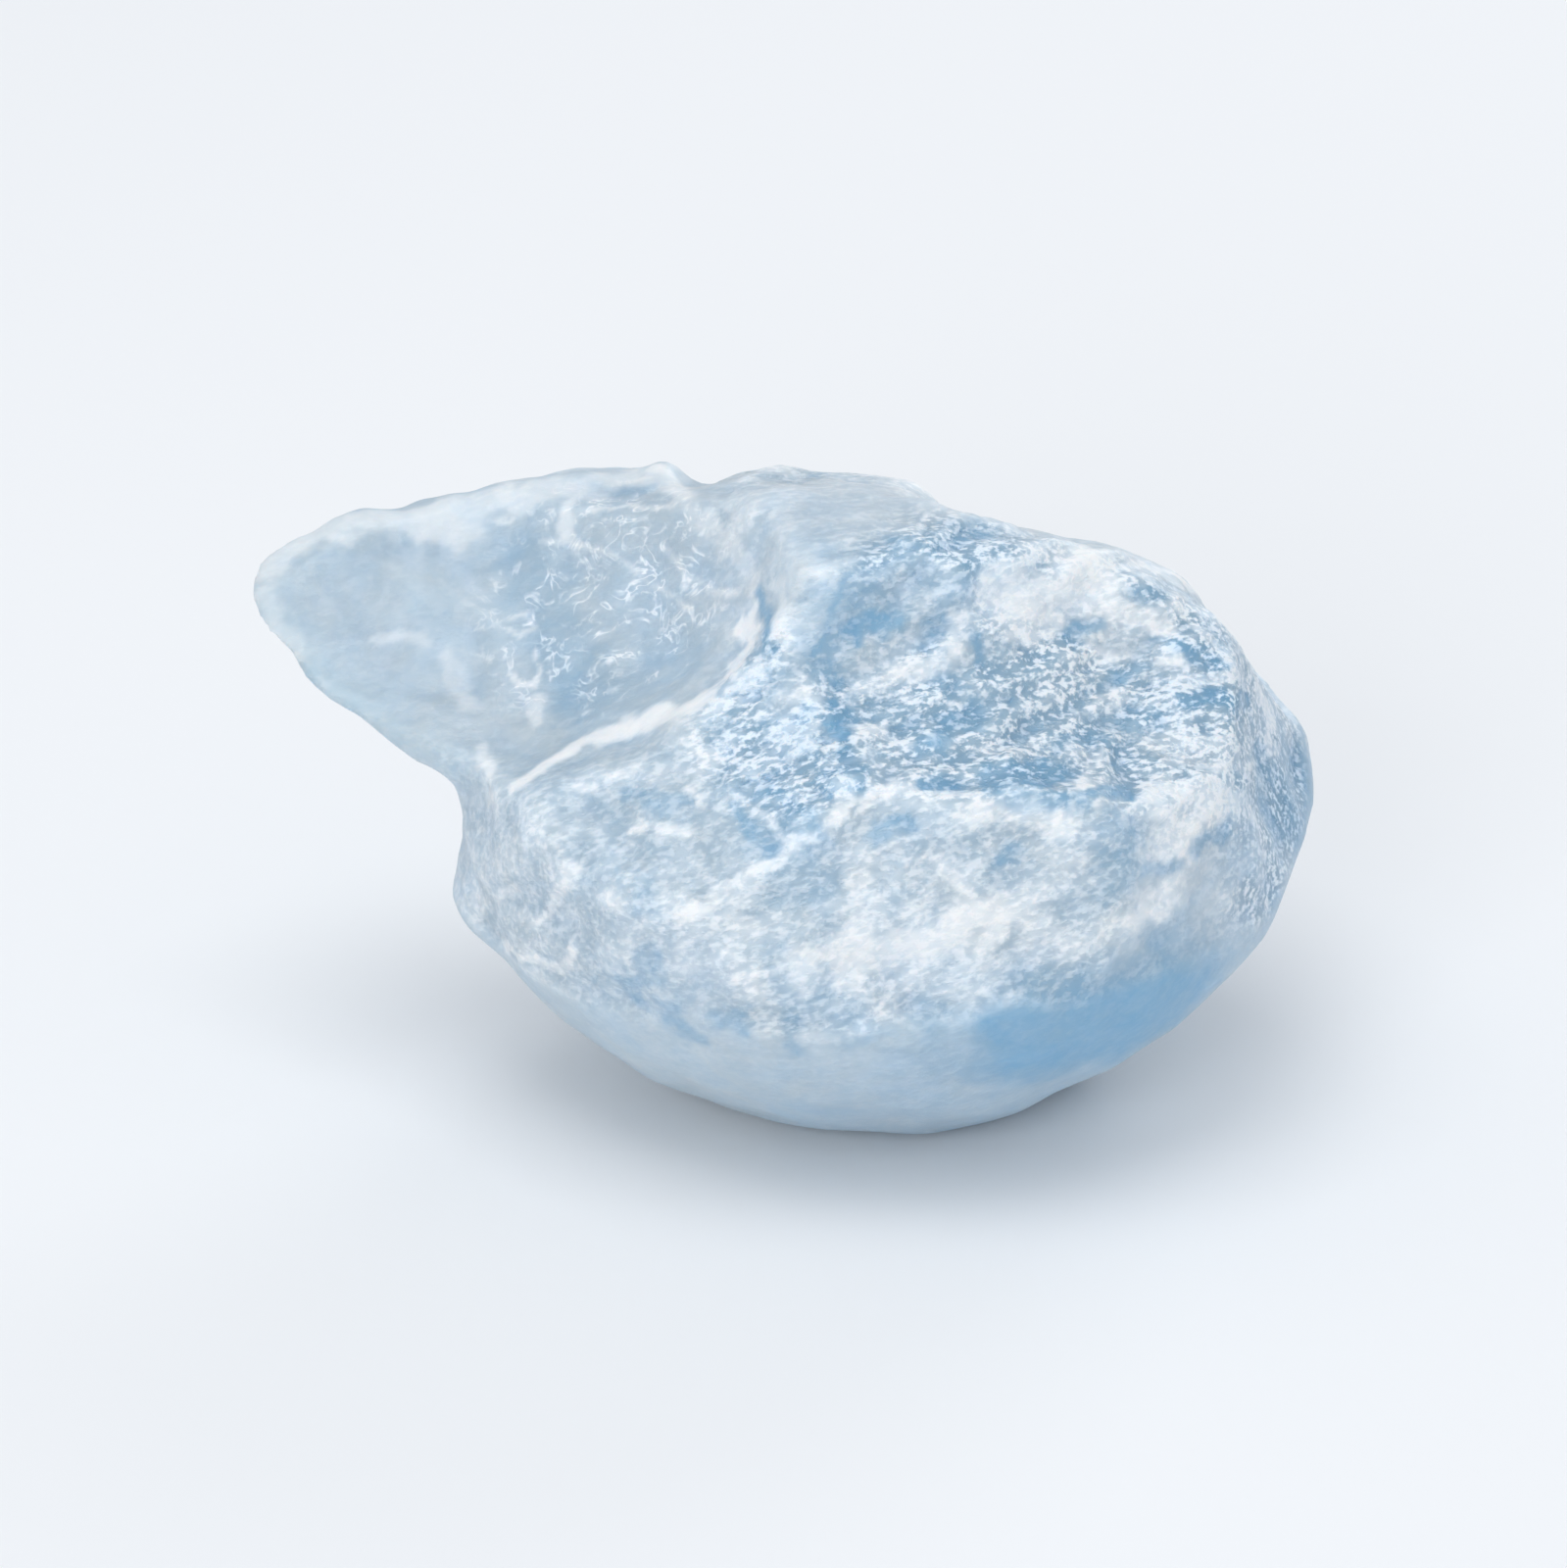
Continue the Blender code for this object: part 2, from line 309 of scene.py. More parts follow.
# %% Find the broken regions
# Balls: the middle and the reach, in millimetres.
SCOOP_BALLS = (((-8.0, 2.5, 19.5), 12.0), ((-17.5, 4.0, 19.0), 12.0))
ROUGH_BALLS = (
    ((8.2, -7.0, 21.5), 9.0),
    ((14.7, -5.5, 19.5), 8.0),
    ((1.2, -8.5, 20.0), 6.0),
    ((8.7, 13.5, 15.0), 11.0),
)
LEFT_BALLS = (((-10.0, -7.5, 13.0), 10.0),)
# The scoop begins between these distances to the left of the origin.
SCOOP_START = (1.8, 3.8)
# The direction that a region faces, and the cosine from which a normal agrees with it.
FRONT_FACE, FRONT_AGREES = np.array((0.05, -0.968, 0.242)), (0.80, 0.92)
LEFT_FACE, LEFT_AGREES = np.array((-0.331, -0.652, 0.682)), (0.90, 0.97)
BROAD_PASSES = 12
# The back begins between these depths. It is blotchy whatever else it is, so its share comes on
# top of the others.
BACK_DEPTH = (0.0, 7.0)


def near(places, balls):
    """1 up to half the reach from the middle of any ball, fading to 0 at the full reach."""
    share = np.zeros(len(places))
    for middle, reach in balls:
        away = np.linalg.norm(places - np.array(middle), axis=1)
        share = np.maximum(share, 1 - ramp(away / reach, 0.5, 1))
    return share


broad_normals = relaxed(normals, BROAD_PASSES)
broad_normals /= np.linalg.norm(broad_normals, axis=1, keepdims=True)
scoop = near(points, SCOOP_BALLS) * broken * ramp(-points[:, 0], *SCOOP_START)
front = (broken - scoop) * ramp(broad_normals @ FRONT_FACE, *FRONT_AGREES)
left = np.maximum(ramp(broad_normals @ LEFT_FACE, *LEFT_AGREES), near(points, LEFT_BALLS))
left *= broken - scoop - front
rough = near(points, ROUGH_BALLS) * broken * (1 - front)
back = ramp(points[:, 1], *BACK_DEPTH) * (1 - scoop)
kinds = {
    "worn": 1 - broken,
    "scoop": scoop,
    "front": front,
    "left": left,
    "rough": rough,
    "rest": broken * (1 - np.clip(rough + front + left + scoop, 0, 1)),
    "back": back * (1 - rough),
}
print("shares:", {kind: round(float(share.mean()), 2) for kind, share in kinds.items()})

# %% [markdown]
# ## Relief
#
# Crystal breaks along its layers, so the rough hollow gets small flat facets, each tilted its own
# way, with steps between them. They are drawn out along the layers, as splinters are. All of this
# could be a bump in the material, but a bump casts no shadow and leaves the outline smooth, so the
# skin itself is moved.

# %% Cut the facets
SPLINTER_RUN = np.array((0.93, -0.05, 0.36))
SPLINTER_STRETCH = 1.8
LARGE_FACET_MM, SMALL_FACET_MM = 1.5, 0.65
# The small facets start elsewhere in the noise, so that they don't follow the large ones.
SMALL_SHIFT = 3.3
# A cell's place times one of these is where its lean and its height are read from the noise.
LEAN_SEED, HEIGHT_SEED = 7.31, 3.17
STEP_HEIGHT = 0.4
# Noise vectors start from a seed that Blender takes from the clock, unless one is set. With this
# one the facets are the same in every run.
FACET_SEED = 1

noise.seed_set(FACET_SEED)


def facets(places, size):
    """Heights of flat facets of a size in millimetres, and a random value for each of them."""
    along = places @ SPLINTER_RUN
    squeezed = places - np.outer(along * (1 - 1 / SPLINTER_STRETCH), SPLINTER_RUN)
    heights = np.empty(len(places))
    values = np.empty(len(places))
    for index, spot in enumerate(squeezed / size):
        spot = Vector(spot)
        cell = noise.voronoi(spot)[1][0]
        lean = noise.noise_vector(cell * LEAN_SEED)
        values[index] = noise.noise(cell * HEIGHT_SEED)
        heights[index] = lean.dot(spot - cell) + STEP_HEIGHT * values[index]
    return heights * size, values


large_facets, large_shade = facets(points, LARGE_FACET_MM)
small_facets, small_shade = facets(points + SMALL_SHIFT, SMALL_FACET_MM)
print("large facets:", round(float(np.ptp(large_facets)), 1), "mm from lowest to highest")

# %% [markdown]
# The bruised faces have shallower facets than the hollow, and the worn skin has only shallow
# waves. The scoop has faint ripples round the point that the blow came from, as broken glass has.
# The ledges that the solid has already are sharpened, because the remesh has blunted them.

# %% Work out the relief
FACETS_BY_KIND = {
    # share of the large facets, of the small facets, and of lumps in between
    "rough": (0.14, 0.24, 0.0),
    "front": (0.08, 0.12, 0.06),
    "left": (0.06, 0.08, 0.05),
    "rest": (0.05, 0.05, 0.03),
    "worn": (0.0, 0.0, 0.02),
    "back": (0.06, 0.0, 0.06),
}
LUMPS_MM = 1.6
# Waves: kind, height in millimetres, millimetres between them.
WAVES = (("worn", 0.10, 3.2), ("back", 0.10, 4.5), ("scoop", 0.025, 0.75))
SHARPENING = (("rough", 0.6), ("left", 0.3))
SHARPENING_PASSES = 8
BLOW_POINT = np.array((-8.8, 7.0, 24.5))
RIPPLE_MM, RIPPLE_HEIGHT = 1.7, 0.015
RIPPLE_SWAY, RIPPLE_SWAY_MM = 0.8, 3.0
# The foot stays as it is in the solid, so that the stone lies as it does there.
FOOT_FADE = (0.0, 0.8)

from_blow = np.linalg.norm(points - BLOW_POINT, axis=1)
from_blow += RIPPLE_SWAY * lumps(points, RIPPLE_SWAY_MM)
relief = scoop * RIPPLE_HEIGHT * np.sin(from_blow * 2 * math.pi / RIPPLE_MM)
sharper = stands_out(SHARPENING_PASSES)
for kind, share in SHARPENING:
    relief += kinds[kind] * share * sharper
for kind, height, spacing in WAVES:
    relief += kinds[kind] * height * lumps(points, spacing)
middle_lumps = lumps(points, LUMPS_MM)
for kind, (large, small, middle) in FACETS_BY_KIND.items():
    relief += kinds[kind] * (large * large_facets + small * small_facets + middle * middle_lumps)
relief *= ramp(points[:, 2], *FOOT_FADE)
print("relief:", round(float(relief.min()), 2), "to", round(float(relief.max()), 2), "mm")

# %% Move the skin
SHARP_EDGE_DEG = 35
TIP_PASSES, RIDGE_PASSES = 4, 60

moved = (points + normals * relief[:, None]) * MM
stone.data.vertices.foreach_set("co", moved.ravel())
stone.data.update()
select_only(stone)
bpy.ops.object.shade_smooth_by_angle(angle=math.radians(SHARP_EDGE_DEG))
points = skin_vectors("co") / MM
normals = skin_vectors("normal")
tip = stands_out(TIP_PASSES)
ridge = stands_out(RIDGE_PASSES)
print("ridges stand out by", round(float(np.percentile(ridge, 99)), 2), "mm")

# %% [markdown]
# ## Paint
#
# Where the crystal is bruised it turns white, and where it is clean it is clear and bluer. Noise
# alone would put both just anywhere, and a flat picture would have to be wrapped round the stone.
# So they are painted onto the skin as masks, in strokes like a brush's: how wide the stroke is in
# millimetres, how strong, and the points that it runs through.

# %% White strokes on the upper rim and in the scoop
WHITE_SCOOP = (
    # The upper rim, from the left end to the hollow
    (0.85, 0.75, ((-22.1, 5.6, 20.5), (-20.6, 6.1, 21.5), (-18.8, 6.4, 22.3), (-17.0, 6.6, 22.5),
                  (-15.3, 6.8, 22.6), (-13.5, 6.8, 22.7), (-11.7, 7.0, 23.3), (-9.9, 6.8, 23.6),
                  (-8.1, 7.0, 23.8), (-6.4, 7.6, 23.9), (-5.2, 6.7, 24.2))),
    (0.7, 0.7, ((-15.1, 6.3, 22.1), (-13.9, 6.2, 21.8), (-13.1, 6.1, 22.1))),
    (0.6, 0.5, ((-22.0, 4.4, 19.9), (-21.5, 3.6, 18.9), (-20.8, 2.7, 18.1))),
    (0.3, 0.8, ((-8.6, 6.7, 23.6), (-9.1, 5.3, 23.0), (-9.3, 4.9, 22.3))),
    (0.15, 0.8, ((-8.1, 5.3, 23.4), (-6.4, 4.9, 23.7), (-4.6, 3.6, 24.4))),
    (0.5, 0.9, ((-5.5, 7.8, 24.2), (-4.7, 6.9, 24.1), (-4.0, 3.8, 24.6))),
    # The ridge between the scoop and the hollow
    (0.5, 0.4, ((-4.2, 3.3, 24.6), (-3.1, 1.7, 24.2), (-2.1, 0.1, 23.8), (-1.4, -1.5, 23.3),
                (-1.2, -3.2, 22.5))),
    # The crest below the scoop, the whitest edge of all
    (0.5, 1.3, ((-1.6, -5.4, 21.2), (-2.3, -5.9, 20.6), (-3.3, -6.5, 20.0), (-4.2, -6.2, 19.3),
                (-5.7, -5.1, 18.4), (-7.3, -4.3, 17.5), (-8.6, -4.5, 17.0), (-9.7, -5.5, 16.5),
                (-10.9, -6.1, 15.9))),
    (0.7, 1.3, ((-1.3, -3.4, 22.1), (-1.4, -4.9, 21.5), (-1.9, -5.4, 20.9), (-2.8, -6.4, 20.3),
                (-4.2, -6.2, 19.3), (-6.1, -4.9, 18.1), (-7.8, -4.5, 17.4))),
    (0.3, 0.6, ((-10.9, -6.1, 15.9), (-12.3, -4.5, 14.5))),
    # Streaks and small curls in the scoop
    (0.25, 0.5, ((-17.1, 3.1, 18.4), (-16.1, 3.2, 18.6), (-15.1, 2.8, 18.5))),
    (0.4, 0.5, ((-14.2, 2.2, 18.1), (-13.8, 1.0, 17.2), (-13.1, -0.4, 16.8))),
    (0.35, 0.7, ((-12.6, -2.5, 15.9), (-12.3, -4.4, 15.5))),
    (0.3, 0.6, ((-10.3, -0.4, 17.3), (-10.4, -1.9, 16.7))),
    (0.12, 0.9, ((-11.5, 3.1, 19.3), (-10.8, 3.2, 19.4), (-10.5, 2.5, 19.1), (-11.1, 2.3, 18.8),
                 (-11.6, 2.6, 19.0))),
    (0.12, 0.9, ((-11.5, 0.8, 17.8), (-11.1, 0.3, 17.5), (-10.4, 0.1, 17.6), (-10.2, 0.7, 18.1),
                 (-10.5, 1.6, 18.5))),
    (0.12, 0.7, ((-12.1, 6.6, 23.0), (-11.5, 6.4, 23.0), (-11.5, 6.0, 22.5), (-12.1, 6.1, 22.5))),
    (0.13, 0.6, ((-10.3, 5.1, 22.0), (-8.7, 4.6, 22.1), (-7.0, 3.4, 22.1), (-6.0, 2.4, 21.5),
                 (-5.2, 1.5, 21.3), (-3.8, -0.2, 21.3))),
    (0.15, 0.5, ((-4.9, 2.6, 22.6), (-4.0, 1.1, 22.1), (-3.1, -0.1, 22.1), (-1.9, -1.6, 22.5))),
)
print("white strokes:", len(WHITE_SCOOP))

# %% White strokes in the rough hollow
WHITE_HOLLOW = (
    # Ledges in its left half
    (0.3, 0.8, ((-0.1, -8.0, 20.6), (0.9, -8.1, 20.9))),
    (0.5, 0.6, ((4.9, -6.9, 21.1), (6.1, -6.6, 21.6), (6.9, -6.1, 22.2), (7.2, -5.2, 22.9))),
    (0.5, 0.6, ((3.1, -7.4, 20.8), (4.3, -7.1, 20.9))),
    (0.5, 0.8, ((3.2, -9.0, 19.9), (4.0, -8.9, 19.8), (4.9, -9.4, 19.4))),
    (0.4, 0.4, ((4.9, -4.9, 23.8), (5.8, -5.0, 23.9))),
    # Its upper edge, and the ledges under it
    (0.35, 0.9, ((9.3, -5.1, 22.2), (10.4, -4.5, 21.9), (11.6, -3.7, 22.1))),
    (1.3, 0.85, ((9.0, -4.3, 23.2), (10.8, -3.6, 23.6), (12.8, -2.5, 23.7))),
    (0.8, 0.7, ((12.8, -2.5, 23.7), (13.8, -2.6, 23.2))),
    (0.5, 0.9, ((13.5, -3.1, 22.3), (14.9, -3.1, 22.1), (16.0, -3.1, 21.4))),
    (0.3, 0.8, ((14.1, -1.3, 23.6), (15.2, 0.5, 22.9), (16.4, 1.6, 22.0), (17.3, 2.8, 20.6))),
    (0.2, 0.9, ((16.4, -2.4, 22.4), (17.1, -2.8, 21.5), (17.9, -3.2, 20.7), (18.6, -3.8, 20.0),
                (19.3, -2.1, 18.4))),
    (0.2, 0.8, ((15.5, -4.1, 20.5), (16.4, -4.1, 20.6))),
    (0.3, 0.8, ((15.2, -4.6, 19.8), (16.7, -4.6, 19.9), (18.4, -4.2, 19.8))),
    (0.4, 0.5, ((13.5, -5.8, 19.4), (14.3, -4.8, 19.9))),
    # The right end
    (0.5, 1.0, ((19.9, -0.8, 17.6), (20.5, 0.0, 16.3), (20.3, -1.4, 15.9))),
    (0.15, 1.0, ((19.1, -6.1, 16.6), (20.0, -2.6, 15.4), (20.9, -0.5, 15.0))),
    (0.9, 0.6, ((15.5, -7.1, 18.3), (16.7, -7.3, 18.1), (18.0, -7.1, 17.8))),
    (0.9, 0.95, ((15.5, -9.9, 17.4), (16.7, -9.8, 16.7), (18.3, -8.6, 16.2))),
    (0.7, 0.9, ((15.8, -10.8, 15.9), (16.8, -10.3, 15.4))),
    (0.8, 0.4, ((15.7, -10.9, 15.9), (15.3, -11.7, 14.7))),
    (0.6, 0.5, ((15.4, -11.0, 16.2), (15.9, -11.2, 15.2))),
    (0.6, 0.5, ((12.8, -6.2, 19.4), (13.5, -6.5, 18.7))),
    (0.25, 1.0, ((16.7, -9.9, 16.5), (17.7, -9.3, 16.3))),
    (0.35, 0.9, ((19.1, -7.3, 15.7), (19.6, -6.9, 14.4))),
    (0.4, 0.8, ((11.9, -9.0, 18.6), (12.9, -8.7, 18.4))),
    (0.3, 0.9, ((12.1, -11.1, 18.1), (12.5, -9.5, 18.1))),
    (0.5, 0.7, ((12.5, -4.3, 20.9), (13.4, -4.1, 20.6))),
    (0.4, 0.5, ((8.3, -9.3, 19.1), (9.6, -9.5, 18.9), (10.7, -8.8, 18.8))),
)
print("white strokes:", len(WHITE_HOLLOW))

# %% White strokes on the faces below
WHITE_FACES = (
    # The ledge between the hollow and the front, and the edge of the smooth plate
    (0.3, 0.9, ((-4.0, -13.5, 13.2), (-2.6, -13.0, 14.3), (-1.0, -13.0, 15.3), (0.4, -12.9, 16.1),
                (1.9, -12.6, 17.1), (3.3, -12.1, 18.1), (4.4, -11.8, 18.4))),
    (0.2, 1.0, ((-1.9, -10.5, 17.4), (-0.7, -11.7, 16.9), (0.5, -12.9, 16.2))),
    (0.3, 0.5, ((-0.2, -3.7, 23.9), (0.0, -5.8, 23.3), (0.0, -6.8, 22.4))),
    (0.3, 0.4, ((-0.3, -3.5, 23.8), (1.0, -4.7, 24.8), (2.2, -5.0, 24.8))),
    (0.3, 0.6, ((4.4, -11.8, 18.4), (5.6, -12.0, 18.3), (6.9, -11.9, 18.2), (8.4, -12.2, 18.1),
                (10.2, -12.1, 18.2))),
    # The front
    (0.7, 0.35, ((-4.4, -13.2, 10.9), (-3.3, -13.7, 12.0), (-1.9, -13.8, 12.7),
                 (-0.9, -14.2, 12.0), (-1.6, -14.2, 10.7))),
    (0.5, 0.5, ((-1.5, -13.2, 14.4), (-2.2, -13.5, 13.5))),
    (1.2, 0.95, ((1.0, -14.3, 11.5), (3.1, -13.8, 11.8), (4.9, -13.7, 12.0), (6.4, -13.7, 12.7),
                 (8.0, -13.5, 13.4))),
    (0.5, 0.7, ((3.1, -13.2, 14.9), (3.6, -13.7, 13.3))),
    (0.5, 0.85, ((7.6, -12.6, 17.6), (9.6, -12.3, 17.6), (11.2, -12.3, 17.1))),
    (0.5, 0.6, ((6.4, -13.0, 15.8), (7.4, -13.4, 14.5))),
    (0.6, 0.7, ((8.8, -13.4, 13.7), (10.4, -13.1, 14.4))),
    (0.5, 0.6, ((10.7, -12.7, 16.0), (12.0, -12.7, 15.7))),
    (0.5, 0.35, ((5.0, -13.9, 10.1), (3.1, -14.5, 9.9), (1.0, -14.5, 9.6))),
    (0.9, 0.6, ((4.9, -13.7, 11.0), (6.4, -14.0, 10.4), (8.1, -14.0, 10.8))),
    (0.8, 0.5, ((10.2, -13.4, 12.9), (11.4, -13.4, 12.3))),
    (0.5, 0.6, ((10.4, -13.4, 11.9), (9.0, -13.8, 11.0), (7.6, -14.1, 10.2))),
    (0.6, 0.6, ((12.6, -13.5, 12.4), (14.3, -12.7, 12.9), (15.7, -11.6, 13.6))),
    # The left face and its edges
    (0.25, 1.0, ((-6.1, -10.2, 15.7), (-4.9, -10.7, 16.1), (-3.8, -11.0, 16.1))),
    (0.2, 0.8, ((-3.3, -10.4, 16.9), (-3.9, -9.7, 17.4))),
    (0.35, 0.7, ((-8.4, -10.4, 14.2), (-9.2, -10.1, 13.3), (-9.6, -9.2, 11.8),
                 (-10.3, -8.6, 10.5))),
    (0.35, 0.8, ((-11.6, -5.9, 8.3), (-10.4, -8.0, 8.8), (-9.2, -9.1, 9.0), (-8.7, -9.9, 10.1))),
    (0.5, 0.4, ((-13.0, -4.3, 11.8), (-12.6, -4.7, 9.8))),
    (0.2, 0.7, ((-8.5, -8.0, 16.6), (-7.7, -8.3, 16.6))),
    (0.15, 0.6, ((-7.3, -8.1, 17.1), (-6.1, -8.1, 17.6))),
    (0.25, 0.5, ((-11.0, -7.7, 11.8), (-12.1, -6.1, 10.8))),
    (0.3, 0.4, ((-7.6, -11.3, 13.5), (-6.7, -12.4, 13.2))),
)
print("white strokes:", len(WHITE_FACES))

# %% Blue strokes
BLUE_STROKES = (
    # Clean cracks and pockets, most of them in the left half of the hollow
    (0.6, 1.0, ((3.1, -5.9, 22.8), (4.0, -5.6, 23.0))),
    (0.5, 0.6, ((5.7, -5.5, 22.9), (6.4, -5.3, 23.1))),
    (0.3, 0.7, ((8.0, -5.7, 22.4), (8.0, -6.1, 21.5))),
    (0.4, 0.6, ((1.7, -7.0, 21.7), (2.2, -7.5, 20.9))),
    (0.5, 1.0, ((1.0, -8.6, 20.3), (2.2, -8.7, 20.1), (2.6, -10.2, 19.2))),
    (0.9, 0.5, ((-0.7, -8.5, 19.8), (0.5, -8.9, 19.7), (1.4, -10.1, 19.2))),
    (0.8, 0.35, ((-1.3, -10.6, 17.6), (0.5, -11.0, 18.1), (1.7, -11.8, 17.9))),
    (0.7, 0.35, ((-6.0, -12.2, 14.4), (-5.4, -12.9, 13.8))),
    (0.6, 0.4, ((5.9, -5.5, 22.5), (6.4, -6.8, 21.0))),
    (0.8, 0.2, ((0.5, -2.3, 25.5), (1.9, -3.8, 25.4))),
    (0.6, 0.4, ((0.7, -14.4, 11.3), (1.7, -14.3, 10.6))),
    (0.6, 0.9, ((1.9, -11.4, 18.4), (3.1, -10.5, 19.0))),
    (0.5, 0.8, ((-0.6, -10.9, 17.7), (0.4, -11.7, 17.5), (1.3, -12.7, 17.0))),
    (0.35, 0.8, ((-2.1, -11.1, 16.9), (-1.2, -12.0, 16.4), (-0.2, -12.8, 15.9))),
    (0.25, 0.7, ((2.6, -5.0, 24.8), (2.0, -5.9, 23.5), (1.2, -6.8, 22.2))),
    # The floor of the hollow, from its middle to the right end
    (0.8, 0.7, ((6.3, -9.1, 19.5), (7.5, -8.0, 19.8))),
    (0.4, 0.5, ((5.2, -9.7, 19.2), (6.4, -9.8, 19.1))),
    (0.4, 0.9, ((5.7, -11.4, 18.5), (6.8, -11.2, 18.4))),
    (0.4, 0.9, ((8.2, -11.9, 18.2), (9.1, -11.9, 18.3))),
    (0.8, 1.0, ((8.8, -11.0, 18.5), (10.0, -11.2, 18.4), (11.0, -10.3, 18.2))),
    (0.4, 0.8, ((11.3, -12.1, 18.0), (11.7, -12.0, 18.0))),
    (0.4, 1.0, ((12.5, -11.6, 18.1), (13.9, -10.3, 17.5))),
    (0.5, 0.35, ((11.7, -8.8, 18.7), (12.7, -7.3, 18.7))),
    (0.5, 0.6, ((14.3, -6.1, 18.9), (15.7, -6.2, 18.8))),
    (0.4, 0.9, ((15.9, -3.7, 21.1), (17.1, -3.8, 20.8))),
    (0.3, 0.8, ((17.7, -3.8, 20.4), (18.1, -3.8, 20.3))),
    (0.5, 1.0, ((16.6, -5.3, 19.6), (18.3, -5.1, 19.2), (19.3, -2.7, 18.0))),
    (0.4, 0.7, ((12.0, -3.8, 21.6), (12.9, -3.5, 21.9))),
    (0.4, 0.6, ((13.8, -4.5, 20.1), (14.8, -4.2, 20.4))),
    (0.5, 0.5, ((14.9, -2.6, 22.9), (16.4, -0.3, 22.2))),
    (2.0, 0.5, ((20.4, -3.3, 14.2), (21.2, -2.5, 13.2), (21.7, 0.4, 13.0))),
    (0.4, 0.7, ((17.0, -10.3, 15.0), (18.0, -9.0, 15.2))),
    # The front, and the worn skin at its lower edge
    (0.8, 0.4, ((13.4, -12.1, 16.9), (13.9, -12.3, 15.7), (13.5, -12.8, 14.7))),
    (0.4, 0.6, ((14.8, -12.0, 14.7), (16.0, -11.2, 14.7))),
    (0.4, 0.8, ((3.9, -12.7, 16.8), (5.1, -12.6, 17.1))),
    (0.4, 0.7, ((8.7, -13.0, 15.7), (9.4, -12.8, 15.9))),
    (0.7, 0.3, ((0.1, -13.3, 14.3), (1.6, -13.3, 14.8))),
    (0.7, 0.45, ((-5.5, -12.8, 11.0), (-6.4, -11.7, 9.4))),
    (0.7, 0.45, ((-4.5, -12.7, 8.7), (-4.0, -12.7, 7.6))),
    (0.7, 0.5, ((-2.2, -13.9, 8.8), (-1.5, -14.2, 8.9))),
    (0.5, 0.4, ((0.3, -14.3, 8.9), (0.3, -14.3, 8.0))),
    (0.5, 0.4, ((5.7, -14.2, 9.4), (6.5, -14.4, 9.3))),
    (3.2, 0.7, ((10.6, -13.7, 7.9), (12.0, -13.2, 7.8), (15.2, -11.7, 8.5))),
    (2.6, 0.25, ((7.4, -14.5, 8.2), (9.6, -14.0, 8.0))),
    # Clear bands beside the white edges, in the scoop and across the stone
    (0.6, 0.5, ((-5.9, -9.0, 16.9), (-4.4, -10.2, 16.8))),
    (1.5, 0.3, ((-11.1, 4.9, 21.0), (-9.9, 2.6, 19.4), (-8.1, -1.4, 17.7))),
    (0.3, 0.8, ((-1.0, -2.7, 23.1), (-0.6, -4.7, 22.8), (-0.6, -6.5, 22.3))),
    (0.4, 0.3, ((-7.9, 6.7, 23.7), (-5.7, 6.1, 23.9))),
    (1.2, 0.4, ((1.4, -6.7, 22.3), (2.4, -5.7, 23.9), (3.7, -4.5, 25.0), (5.7, -3.9, 25.7),
                (8.5, -2.1, 25.4))),
    (2.0, 0.4, ((-1.6, -7.4, 20.6), (-0.9, -9.0, 19.0), (-0.2, -11.2, 17.6), (0.0, -12.4, 16.6))),
    (1.0, 0.35, ((4.5, -5.3, 23.2), (6.2, -5.0, 24.0), (7.6, -4.6, 24.6))),
    (0.5, 0.8, ((9.5, -12.2, 18.0), (10.9, -12.2, 17.8), (12.1, -12.0, 17.9))),
    (0.9, 0.3, ((-0.2, -14.3, 11.8), (1.2, -14.5, 10.2), (3.1, -14.8, 8.8))),
)
print("blue strokes:", len(BLUE_STROKES))

# %% [markdown]
# A stroke with clean borders would look like a painted line. Bruises fray where the splinters
# begin, so noise pushes the borders about, less in the smooth scoop than elsewhere.

# %% Paint the strokes
FRAY_MM, FINE_FRAY_MM, FINE_FRAY_SHARE = 1.1, 0.45, 0.5
# One shift through the noise for each direction in space.
FRAY_SHIFTS = (3.9, 31.7, 67.1)
SCOOP_CALM = 0.35
# How far noise pushes: a share of the stroke's width, a least and a most, in millimetres.
PUSH_BY_WIDTH, LEAST_PUSH, MOST_PUSH = 0.9, 0.1, 0.8
STROKE_EDGE = (0.5, 1.5)


def from_line(places, start, stop):
    """How far each place is from a straight line between two points."""
    run = stop - start
    share = np.clip((places - start) @ run / (run @ run), 0, 1)
    return np.linalg.norm(places - start - share[:, None] * run, axis=1)


frayed = []
for shift in FRAY_SHIFTS:
    coarse, fine = lumps(points + shift, FRAY_MM), lumps(points - shift, FINE_FRAY_MM)
    frayed.append(coarse + FINE_FRAY_SHARE * fine)
frayed = np.stack(frayed, axis=1) * (1 - SCOOP_CALM * scoop)[:, None]


def painted(strokes):
    """The mask that a list of strokes leaves: 1 under a full stroke, 0 away from them all."""
    mask = np.zeros(len(points))
    for width, strength, run in strokes:
        places = points + min(PUSH_BY_WIDTH * width + LEAST_PUSH, MOST_PUSH) * frayed
        run = np.array(run)
        away = np.min([from_line(places, *ends) for ends in zip(run[:-1], run[1:])], axis=0)
        mask = np.maximum(mask, strength * (1 - ramp(away / width, *STROKE_EDGE)))
    return mask


white = painted(WHITE_SCOOP + WHITE_HOLLOW + WHITE_FACES)
blue = painted(BLUE_STROKES)
print("touched by white:", round(float((white > 0).mean()), 2), "of the skin")
print("touched by blue:", round(float((blue > 0).mean()), 2), "of the skin")
